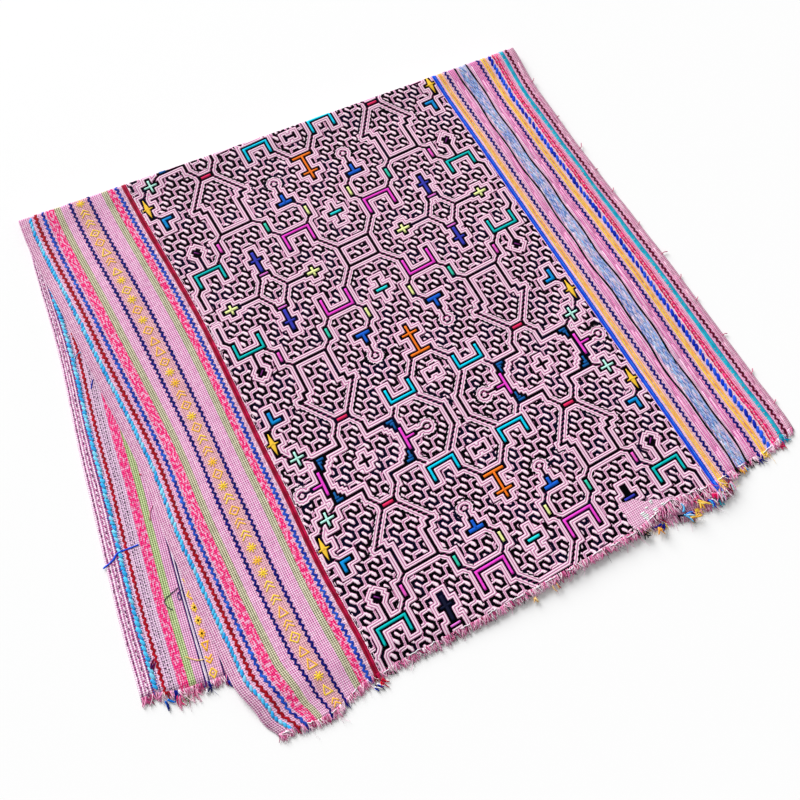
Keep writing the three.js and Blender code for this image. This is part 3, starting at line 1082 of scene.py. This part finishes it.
# kind, place across the cloth, half width, swing from side to side, two colours it wanders between
lines = [
    ("zigzag", 22, 1.8, 1.4, darkRed, (180, 8, 30)),
    ("zigzag", 31, 1.7, 1.3, (8, 24, 130), (50, 112, 226)),
    ("zigzag", 67.5, 1.5, 1.45, navy, inkBlue),
    ("zigzag", 92, 1.5, 1.45, navy, inkBlue),
    ("zigzag", 129.4, 1.55, 1.75, (14, 34, 150), (44, 96, 214)),
    ("stroke", 137.3, 1.5, 0, (124, 4, 36), (184, 14, 60)),
    ("stroke", 140.5, 1.5, 0, (206, 20, 80), (140, 6, 44)),
    ("stroke", 575.3, 1.15, 0, (14, 62, 212), (20, 80, 226)),
    ("stroke", 577.5, 0.95, 0, (56, 126, 246), (26, 94, 232)),
    ("wavy", 583.9, 1.05, 0.2, (255, 218, 76), (255, 190, 70)),
    ("wavy", 586.9, 0.95, 0.2, (255, 208, 84), (255, 172, 70)),
    ("zigzag", 594, 1.4, 1.5, navy, inkBlue),
    ("wavy", 609.3, 1.45, 1.5, black, black),
    ("wavy", 627.4, 1.45, 1.5, black, black),
    ("zigzag", 643.7, 1.4, 1.5, navy, inkBlue),
    ("wavy", 649.9, 1.25, 0.2, (255, 220, 76), (255, 192, 66)),
    ("wavy", 653.4, 1.2, 0.2, (255, 210, 84), (255, 178, 66)),
    ("wavy", 679, 1.25, 0.5, (0, 166, 198), (60, 200, 220)),
    ("wavy", 681.3, 1.2, 0.5, (50, 190, 214), (0, 150, 184)),
    ("zigzag", 688.6, 1.5, 1.3, (112, 4, 46), (70, 0, 30)),
]
# place across the cloth, half width, dash length, gap, lean from end to end, colours
dashes = [
    (14, 2.2, 7, -1.2, 3, [skyBlue, (130, 218, 255), (50, 172, 240)]),
    (660.9, 2.6, 9, -1.2, 4.4, [(14, 60, 214), (8, 40, 180), (36, 90, 232)]),
    (667.2, 1.3, 9, 0.2, 0.5, [(224, 16, 92), (214, 20, 84), hotPink]),
    (670.8, 1.4, 9, 0.2, -0.5, [(214, 20, 84), (232, 24, 104)]),
    (668.9, 0.7, 1.2, 3.4, 0, [(255, 200, 190), (250, 226, 230)]),
    (679, 1, 1, 4.6, 0, [(250, 190, 170), (230, 120, 150)]),
    (612.6, 0.42, 13, 1, 2.2, [(86, 134, 214), white]),
    (614.4, 0.42, 9, 1, -2.6, [(244, 196, 206), (84, 134, 210)]),
    (616.2, 0.42, 13, 1, 2.4, [(150, 210, 244), (76, 122, 206)]),
    (618.2, 0.42, 9, 1, -2.2, [(250, 236, 244), (90, 140, 216)]),
    (620.2, 0.42, 13, 1, 2.6, [(96, 156, 226), (236, 190, 214)]),
    (622.2, 0.42, 9, 1, -2.4, [(76, 126, 210), white]),
    (624.2, 0.42, 13, 1, 1.8, [(120, 180, 236), (206, 180, 220)]),
    *((place, 0.5, 40, 1, 0.3, [(252, 226, 240), (246, 206, 230)])
      for place in (600.8, 604.4, 631.8, 635.4, 639)),
    (694.4, 0.5, 24, 3, 0.5, [(250, 222, 236), (206, 130, 170)]),
    (134.3, 0.5, 9, 1, 0.2, [(252, 232, 242), (240, 200, 224)]),
    (144.4, 0.6, 5, 1.2, 0.2, [(250, 222, 236), (236, 180, 210)]),
]
# the same threads on the wrong side, seen on the strip at the left
wrongLines = [
    # where along the cloth it begins, and then as above
    (0, "zigzag", 20, 1.8, 1.1, darkRed, (196, 10, 40)),
    (1140, "stroke", 65, 0.85, 0, violetInk, (40, 20, 110)),
    (1140, "stroke", 66.8, 0.8, 0, white, (236, 214, 240)),
    (1140, "stroke", 68.6, 0.85, 0, violetInk, (40, 20, 110)),
    (1294, "stroke", 86.6, 0.9, 0, violetInk, (20, 20, 110)),
]
wrongDashes = [
    (12, 2.4, 7, -1.2, 3, [skyBlue, (130, 220, 255), (50, 172, 240)]),
    (9.2, 0.55, 1.3, 1.5, 0, [(20, 90, 200), (30, 40, 130)]),
    (14.8, 0.55, 1.3, 1.5, 0, [(20, 70, 190), (30, 30, 110)]),
    (5.6, 0.45, 4, 2.6, 0.3, [(176, 70, 130), (120, 50, 104)]),
    (2.2, 0.45, 4, 3.2, -0.3, [(180, 90, 150), (120, 50, 104)]),
    (26, 0.6, 1.5, 2.9, 0.2, [(60, 14, 66), (90, 40, 96)]),
    (30.4, 0.65, 1.5, 2.6, 0.2, [(50, 10, 60), (24, 8, 48)]),
    (28, 0.5, 1.2, 4.4, 0.2, [(140, 90, 150), (60, 14, 66)]),
]
# low and high side of a band, pitch of its woven marks, half width of their strokes, colours
markBands = [
    (73.4, 86.4, 15.6, 0.85, [(255, 214, 60), (255, 196, 60)]),
    (582.4, 588.4, 5.4, 0.3, [(236, 150, 110), (255, 224, 196)]),
    (648.4, 655.2, 5.8, 0.3, [(236, 150, 110), (255, 224, 196)]),
]
wrongMarkBand = (70.8, 80.0, 14.5, 1.1, [(255, 208, 70), (255, 190, 50)])
# plain geometric marks, each a few strokes in a box of one by one; the bars are for narrow bands
markShapes = [
    [[(0.1, 0.25), (0.9, 0.25)], [(0.1, 0.6), (0.9, 0.6)], [(0.3, 0.9), (0.7, 0.9)]],
    [[(0.08, 0.1), (0.5, 0.5), (0.92, 0.1)], [(0.08, 0.5), (0.5, 0.9), (0.92, 0.5)]],
    [[(0.5, 0.0), (0.95, 0.5), (0.5, 1.0), (0.05, 0.5), (0.5, 0.0)], [(0.36, 0.5), (0.64, 0.5)]],
    [[(0.08, 0.1), (0.92, 0.1), (0.5, 0.9), (0.08, 0.1)]],
    [[(0.05, 0.5), (0.95, 0.5)], [(0.5, 0.0), (0.5, 1.0)], [(0.2, 0.2), (0.8, 0.8)],
     [(0.2, 0.8), (0.8, 0.2)]],
]


# Loose threads on the wrong side of the strip: half width, colour, path over the flat cloth.
looseTails = [
    (1.1, (22, 80, 220), [(34, 1158), (20, 1159), (9, 1159), (6, 1166), (-3, 1170)]),
    (0.6, (110, 182, 234), [(29, 911), (21, 910), (15, 914), (12, 924)]),
    (1.5, (255, 136, 30), [(65, 1129), (66.5, 1135), (68, 1141)]),
    (0.9, (30, 60, 190), [(29, 950), (27, 955), (25, 960)]),
    (0.5, (24, 50, 74), [(64, 1218), (54, 1222), (45, 1226), (47, 1234), (52, 1239)]),
    (0.5, (20, 30, 120), [(67, 1221), (61, 1224), (61, 1232), (65, 1230), (63, 1223)]),
    (0.6, (250, 214, 120), [(51, 1291), (58, 1296), (63, 1299), (70, 1300)]),
    (0.6, (206, 20, 44), [(54, 1080), (58, 1082), (62, 1079)]),
    (0.5, (96, 120, 60), [(48, 1006), (47, 1015), (50, 1026)]),
    (0.5, (246, 130, 180), [(60, 1120), (55, 1126), (53, 1136)]),
]


def bend(path):
    # a path with its corners rounded: quarter points of its lines, drawn in twice
    path = np.asarray(path, float)
    for repeat in range(2):
        near = path[:-1] * 0.75 + path[1:] * 0.25
        far = path[:-1] * 0.25 + path[1:] * 0.75
        path = np.concatenate([path[:1], np.stack([near, far], axis=1).reshape(-1, 2), path[-1:]])
    return path


def rightSpan(s):
    # where a line on the right side begins, and where it stops part of the way round the fold
    return float(frontOf(np.array(s))) + border["frontMargin"], alongAt(s, turnLength * border["turnShare"])


def wrongSpan(s):
    # where a line on the wrong side begins past the fold, and where it stops at the back end
    return alongAt(s, turnLength + border["pastTurn"]), float(backOf(np.array(s))) - border["backMargin"]


def sewLine(threads, row, low, high, wrong=False):
    # a zigzag swings from side to side, a wavy line wanders, and a stroke runs straight
    kind, place, half, swing, first, second = row
    step = border["zigzagPitch"] / 4 if kind == "zigzag" else border["strokeStep"]
    t = np.arange(low, high, step)
    across = place + 0.3 * np.sin(t / 33.0 + place)
    if kind == "zigzag":
        across = across + swing * np.sin(t * (2 * math.pi / border["zigzagPitch"]) + 0.5 * np.sin(t / 21.0))
    if kind == "wavy":
        across = across + swing * (0.6 * np.sin(t / 13.0 + place) + 0.6 * np.sin(t / 29.0))
    share = 0.5 + 0.5 * np.sin(t / 8.3 + place) * np.sin(t / 3.1)
    colours = np.array(first) + (np.array(second) - np.array(first)) * share[:, None]
    width = half * (1 + 0.12 * np.sin(t / 4.3 + place))
    threads.lay(np.stack([across, t], axis=1), width, border["low"], border["top"], colours, wrong)


def sewDashes(threads, row, low, high, draw, wrong=False):
    # dashes one after another, each leaning across its line, and overlapping where the gap is below 0
    place, half, length, gap, lean, colours = row
    t = low
    while t < high - length * border["dashRun"][1]:
        run = length * draw.uniform(*border["dashRun"])
        along = np.linspace(t, t + run, 4)
        across = place + draw.normal(0, 0.3) + draw.normal(0, 0.25, 4) + lean * np.linspace(-0.5, 0.5, 4)
        width = half * draw.uniform(0.85, 1.15) * np.array([0.5, 1.0, 1.0, 0.5])
        colour = np.array(colours[draw.integers(len(colours))]) * draw.uniform(*border["dashShade"])
        threads.lay(np.stack([across, along], axis=1), width, border["low"], border["top"], colour, wrong)
        t += run + gap * draw.uniform(*border["dashGap"])


def weaveMarks(threads, band, low, high, draw, wrong=False):
    # short beaded strokes of pattern weft, one mark after another up the band
    left, right, pitch, half, colours = band
    shapes = markShapes[1:] if right - left > border["wideBand"] else markShapes[:1]
    t = low
    while t < high - pitch:
        tall = pitch * draw.uniform(0.7, 0.84)
        colour = colours[draw.integers(len(colours))]
        for path in shapes[draw.integers(len(shapes))]:
            spots = walk([(left + (right - left) * x, t + tall * y) for x, y in path], 1.5)
            beads = half * (0.7 + 0.6 * np.abs(np.sin(np.arange(len(spots)) * 1.7)))
            threads.lay(spots, beads, border["markLow"], border["markTop"], colour, wrong)
        t += pitch


def buildBorders(draw):
    # every sewn line of the right side, from the front end to the fold
    threads = Threads()
    for row in lines:
        sewLine(threads, row, *rightSpan(row[1]))
    for row in dashes:
        sewDashes(threads, row, *rightSpan(row[0]), draw)
    return threads.make("border_stitching", threadFinish("border_thread", 1.3))


def buildWrongSide(draw):
    # the lines of the wrong side, its woven marks, and the loose threads with their corners rounded
    threads = Threads()
    for begin, *row in wrongLines:
        low, high = wrongSpan(row[1])
        sewLine(threads, row, max(begin, low), high, True)
    for row in wrongDashes:
        sewDashes(threads, row, *wrongSpan(row[0]), draw, True)
    high = wrongSpan(wrongMarkBand[0])[1]
    weaveMarks(threads, wrongMarkBand, border["wrongMarksFrom"], high, draw, True)
    for half, colour, path in looseTails:
        spots = bend(path)
        threads.lay(spots, half * (0.9 + 0.1 * np.sin(np.arange(len(spots)) * 1.6)), 0.5, 1.2, colour, True)
    return threads.make("wrong_side_stitching", threadFinish("wrong_side_thread", 1.3))


def buildMarks(draw):
    # the woven marks of the right side, band after band
    threads = Threads()
    for band in markBands:
        low, high = rightSpan(band[0])
        weaveMarks(threads, band, low + border["markMargin"], high, draw)
    return threads.make("woven_marks", threadFinish("pattern_weft", 1.6))


borderDraw = np.random.default_rng(21)
borderPieces = [buildBorders(borderDraw), buildWrongSide(borderDraw), buildMarks(borderDraw)]
print("the borders are sewn")


fray = {
    "yarns": 1150,           # short thick yarns at each raw end
    "hairs": 60,             # and long fine ones
    "points": 6,
    "short": (2.0, 7.5),     # how far they stand out
    "long": (8.0, 22.0),
    "thick": (0.45, 0.75),   # their radius
    "fine": (0.15, 0.25),
    "lean": (0.16, 0.5),     # how far the yarns and the hairs stray from square to the end, in radians
    "curl": (0.6, 1.0),      # and how far they bend on their way
    "spread": (1.4, 2.4),    # most yarns stand out by about a third of that range
    "root": 5.0,             # how far in from the end a yarn starts
    "darkShare": 0.12,       # dark yarns among the pale ones along the stitching
    "flattest": 0.75,        # no yarn stands higher than this above its middle
    "corner": (488.0, 596.0, 8.0),    # between these places at the front they are this much longer
    "cornerEase": (30.0, 12.0),
}
pinks = [
    (246, 186, 214), (226, 124, 174), (255, 234, 244), (238, 150, 196),
    (168, 52, 104), (254, 230, 238), (206, 88, 142), (248, 204, 226),
]
bundle = {
    "across": 1.6,           # how far its yarns lie from its place, across and along the cloth
    "along": 1.2,
    "stray": 0.3,            # from its own direction, in radians
    "lengths": (0.6, 1.1),
    "widths": (0.8, 1.15),
    "curl": 0.6,
}
# Bundles of coloured thread ends at the front: place across, place along, which way they point in
# degrees from straight out, how many, length, radius, colours.
frontBundles = [
    (524, -11, 60, 5, 13, 1.2, [(96, 190, 244), (170, 214, 244), (60, 130, 226), (120, 196, 244)]),
    (518, -9, 80, 3, 11, 0.8, [black, (20, 20, 60)]),
    (530, -18, 70, 3, 14, 1.1, [(240, 180, 70), (250, 206, 110)]),
    (549, -4, 14, 4, 16, 1.4, [(255, 206, 80), (244, 176, 50), (255, 224, 130)]),
    (543, -2, 40, 4, 7, 0.9, [(236, 30, 100), (250, 120, 170), black]),
    (560, -12, 60, 5, 10, 1.1, [(30, 60, 190), (70, 180, 236), white, (40, 90, 220)]),
    (568, -7, 20, 5, 8, 1.4, [(240, 30, 110), (214, 10, 80), (250, 130, 180)]),
    (574, -8, 10, 10, 13, 0.8, [(206, 216, 232), (236, 150, 196), white, (150, 50, 90)]),
    (584, -8, 5, 12, 14, 0.8, [(246, 200, 222), (150, 20, 50), (236, 150, 196), white]),
    (592, -6, 0, 8, 12, 0.9, [(130, 6, 40), (240, 170, 204), (190, 210, 226), black]),
    (578, 0, 20, 3, 9, 0.9, [brightBlue, black]),
    (489, -7, 0, 4, 10, 1.1, [(250, 190, 80), (240, 160, 60)]),
    (496, -8, -30, 3, 9, 1.2, [navy, (20, 20, 90)]),
    (473, -6, 0, 4, 9, 1, [black, (40, 30, 40)]),
    (133, -1, 30, 6, 10, 0.8, [deepBlue, white, (20, 20, 60)]),
    (140, 0, 20, 5, 9, 0.9, [(224, 20, 50), (176, 10, 56)]),
    (632, 3, 10, 4, 9, 0.9, [black, (40, 20, 30)]),
    (614, 2, 10, 3, 8, 1, [(250, 190, 90), (244, 176, 50)]),
    (604, 1, 0, 7, 8, 0.9, [(246, 170, 210), (210, 70, 130), white]),
    (620, 1, 15, 5, 8, 0.8, [(240, 190, 70), (120, 170, 226)]),
    (644, 2, 10, 5, 9, 0.8, [navy, (20, 20, 90)]),
    (674, 5, 20, 6, 9, 0.8, [(226, 30, 100), (190, 20, 80)]),
    (680, 6, 20, 4, 9, 0.8, [(0, 146, 176), deepBlue]),
    (325, -6, 10, 3, 8, 0.9, [(240, 190, 120), (250, 214, 150)]),
    (352, -4, 10, 4, 9, 0.8, [(240, 196, 130), (190, 70, 80)]),
]
# the same at the back end, on its wrong side
backBundles = [
    (90, 1329, 30, 5, 10, 1.1, [(20, 50, 180), navy]),
    (66, 1329, 0, 4, 7, 0.9, [violetInk, white]),
    (14, 1292, 160, 6, 11, 0.9, [(120, 10, 80), (60, 10, 90), (170, 20, 60)]),
    (18, 1328, 0, 4, 9, 1.1, [(20, 110, 210), (20, 40, 130)]),
    (34, 1326, 0, 9, 15, 0.6, [(246, 130, 180), (236, 30, 120), (180, 40, 100)]),
    (44, 1328, 0, 6, 16, 0.6, [(246, 160, 196), (90, 110, 60), (250, 214, 226)]),
    (52, 1328, 10, 7, 14, 0.5, [(246, 160, 196), (200, 60, 120)]),
    (606, 1326, 10, 8, 12, 0.9, [(255, 206, 90), (60, 160, 236), (236, 40, 120)]),
    (640, 1330, 0, 8, 12, 0.9, [black, (250, 190, 90), (240, 150, 190)]),
    (575, 1326, 0, 8, 12, 0.9, [(236, 150, 190), (130, 8, 40), navy]),
]
# small loops that stand out from the right selvedge: place along, length, lean
selvedgeTufts = [
    (464, 8, 1.2), (388, 5, 0.8), (280, 9, -0.6), (330, 4, 0.5), (205, 5, 0.4), (150, 7, -0.8),
    (92, 6, 0.9), (520, 5, -0.6), (586, 6, 0.7), (426, 4, -1), (240, 5, 1), (48, 5, 0.3),
]
# pale stitches left on the bare patch: place across, place along, rows, row length
patchStitches = [
    (481, 14, 4, 7), (482, 6, 2, 5), (497, 21, 2, 5), (496, 11, 3, 5), (508, 12, 2, 5), (490, 17, 1, 3),
]
looseStitches = {
    # half width, heights of the low and top corners
    "tuft": (0.5, 0.0, 0.9),
    "patch": (0.8, 0.2, 0.95),
    "running": (0.55, 0.6, 1.7),
    "tuftColour": (196, 96, 128),
    "patchColours": [(226, 255, 240), white],
    "patchRow": 2.1,         # from one row on the bare patch to the next
    "runningFrom": 4.0,      # the running stitch along the front, by its places across
    "runningUntil": 688.0,
    "runningLength": (6, 14),
    "runningGap": (6, 36),
    "runningInside": (2.0, 5.0),    # how far in from the front end
}


def yarnColours(s, draw):
    # pinks and creams, dark ones along the stitching, and each sewn line's own colour at its end
    picked = draw.integers(len(pinks), size=len(s))
    colours = np.array(pinks, float)[picked] + draw.normal(0, 8, (len(s), 1))
    middle = (s > chart["sides"][0]) & (s < chart["sides"][1]) & (draw.random(len(s)) < fray["darkShare"])
    colours[middle] = (18, 14, 24)
    for kind, place, half, swing, first, second in lines:
        colours[np.abs(s - place) < half + 0.6] = first
    return np.clip(colours, 0, 255)


def sprayYarns(threads, s, t, height, radius, colours):
    # Many yarns at once: a four-sided section carried along each one, thinner at its tip.
    stepS = np.gradient(s, axis=1)
    stepT = np.gradient(t, axis=1)
    size = np.maximum(np.hypot(stepS, stepT), 1e-6)
    across = np.array([-1.0, 0.0, 1.0, 0.0])
    up = np.array([0.0, 1.0, 0.0, -1.0])
    ringS = s[..., None] - (stepT / size * radius)[..., None] * across
    ringT = t[..., None] + (stepS / size * radius)[..., None] * across
    ringH = height[..., None] + np.minimum(radius, fray["flattest"])[..., None] * up
    points = foldCloth(ringS, ringT, ringH)
    yarns, rows = s.shape
    faces = sectionFaces(rows) + (np.arange(yarns) * rows * 4)[:, None, None]
    run = np.concatenate([np.zeros((yarns, 1)), np.cumsum(size[:, 1:], axis=1)], axis=1)
    threads.keep(points, faces.reshape(-1, 4), np.repeat(colours, rows, axis=0), run.ravel())


def spray(threads, start, along, heading, length, radius, curl, outward, colours, draw):
    # yarns from their places on the cloth, each with its own curl; outward is -1 at the front end and
    # 1 at the back end, where the cloth's right side is down
    count = len(start)
    share = np.linspace(0, 1, fray["points"])[None, :]
    turning = heading[:, None] + draw.normal(0, curl, (count, 1)) * share
    stride = length[:, None] / (fray["points"] - 1) * (share > 0)
    s = start[:, None] + np.cumsum(np.sin(turning) * stride, axis=1)
    t = along[:, None] + outward * np.cumsum(np.cos(turning) * stride, axis=1)
    rise = draw.uniform(0.0, 0.7, (count, 1)) + 0.5 * np.sin(share * math.pi) * draw.random((count, 1))
    thickness = radius[:, None] * (1 - 0.5 * share ** 2)
    sprayYarns(threads, s, t, -outward * rise, thickness, colours)


def rawEnd(name, node, edge, outward, bundles, draw):
    # Short thick yarns and long fine hairs leave the end square to it, with coloured bundles between.
    threads = Threads()
    kinds = zip(("yarns", "hairs"), ("short", "long"), ("thick", "fine"), fray["lean"], fray["curl"])
    for amount, reach, radius, lean, curl in kinds:
        count = fray[amount]
        start = np.sort(draw.uniform(1.0, cloth["width"] - 1.0, count))
        low, high = fray[reach]
        length = fray["root"] + low + (high - low) * draw.beta(*fray["spread"], count)
        along = edge(start) - outward * fray["root"]
        if outward < 0:
            left, right, more = fray["corner"]
            rise, fall = fray["cornerEase"]
            length = length + more * ease((start - left) / rise) * ease((right - start) / fall)
        thickness = draw.uniform(*fray[radius], count)
        heading = draw.normal(0, lean, count)
        colours = yarnColours(start, draw)
        spray(threads, start, along, heading, length, thickness, curl, outward, colours, draw)
    for place, along, degrees, count, length, thickness, tints in bundles:
        start = place + draw.normal(0, bundle["across"], count)
        heading = math.radians(degrees) + draw.normal(0, bundle["stray"], count)
        lengths = length * draw.uniform(*bundle["lengths"], count)
        colours = np.array(tints, float)[np.arange(count) % len(tints)]
        spots = along + draw.normal(0, bundle["along"], count)
        radius = thickness * draw.uniform(*bundle["widths"], count)
        spray(threads, start, spots, heading, lengths, radius, bundle["curl"], outward, colours, draw)
    piece = threads.make(name, threadFinish(name + "_yarn", 0.9, 0.85))
    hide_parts(node)
    return piece


frayDraw = np.random.default_rng(34)
fringePieces = [
    rawEnd("upper_fringe", "fringe_upper", frontOf, -1.0, frontBundles, frayDraw),
    rawEnd("lower_fringe", "fringe_lower", backOf, 1.0, backBundles, frayDraw),
]
print("the raw ends are frayed")


def buildLooseThreads(draw):
    # the loops along the selvedge, the stitches on the bare patch and a running stitch at the front
    threads = Threads()
    for along, length, lean in selvedgeTufts:
        edge = cloth["width"] - 2.0
        tip = (edge + length, along + 2.0 + length * lean * 0.5)
        path = [(edge, along), (edge + length * 0.6, along + 1.0), tip]
        threads.lay(bend(path), *looseStitches["tuft"], looseStitches["tuftColour"])
    for left, along, rows, length in patchStitches:
        for row in range(rows):
            t = along - looseStitches["patchRow"] * row
            path = [(left + draw.uniform(-1, 1), t), (left + length * draw.uniform(0.7, 1.1), t)]
            dye = looseStitches["patchColours"][row % 2]
            threads.lay(walk(path, 2.0), *looseStitches["patch"], dye)
    s = looseStitches["runningFrom"]
    while s < looseStitches["runningUntil"]:
        ends = np.linspace(s, s + draw.uniform(*looseStitches["runningLength"]), 5)
        inside = draw.uniform(*looseStitches["runningInside"]) + draw.normal(0, 0.5, 5)
        threads.lay(np.stack([ends, frontOf(ends) + inside], axis=1), *looseStitches["running"], white)
        s = ends[-1] + draw.uniform(*looseStitches["runningGap"])
    return threads.make("loose_threads", threadFinish("loose_thread", 1.3))


borderPieces.append(buildLooseThreads(frayDraw))
print("the loose threads are laid")
